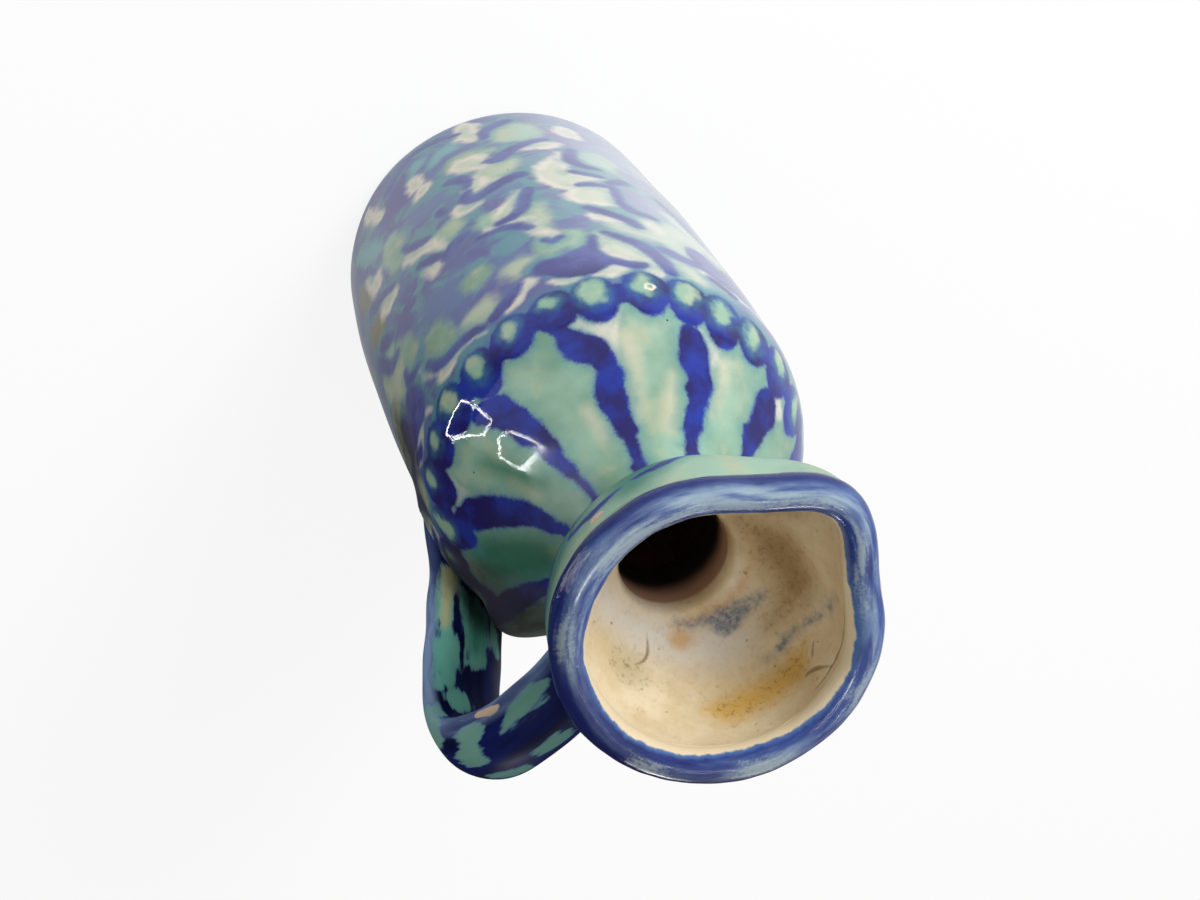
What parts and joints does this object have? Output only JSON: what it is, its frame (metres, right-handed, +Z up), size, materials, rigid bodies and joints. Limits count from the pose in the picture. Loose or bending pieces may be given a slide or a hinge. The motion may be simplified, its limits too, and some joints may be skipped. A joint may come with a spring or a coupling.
{
  "type": "ceramic jug",
  "caption": "Tall hand-thrown glazed jug with a domed shoulder, a narrow throat opening into a cup-shaped mouth with rolled rim and pouring lip, and a strap handle.",
  "frame": {"origin": "centre of the flat underside that the jug stands on", "axes": "+Z up along the jug's axis, +X towards the handle, so the pouring lip points towards -X"},
  "size_m": [0.1536, 0.1324, 0.2881],
  "materials": {
    "body_glaze": "gloss glaze over hand-painted blue, green and cream pattern",
    "cup_glaze": "gloss glaze, green outside, cream slip inside",
    "rim_glaze": "gloss cobalt blue glaze, worn along the top",
    "handle_glaze": "gloss glaze, blue strokes on green",
    "bare_clay": "unglazed fired clay",
    "seam_clay": "slip-coated fired clay"
  },
  "bodies": {
    "root": {"floor_slab": "bare_clay", "body_wall": "body_glaze", "shoulder_dome": "body_glaze", "mouth_cup": "cup_glaze", "rim_roll": "rim_glaze", "handle_strap": "handle_glaze", "handle_upper_root": "handle_glaze", "handle_lower_root": "handle_glaze", "floor_luting_coil": "seam_clay", "shoulder_luting_coil": "seam_clay", "neck_luting_coil": "cup_glaze"}
  },
  "joints": []
}
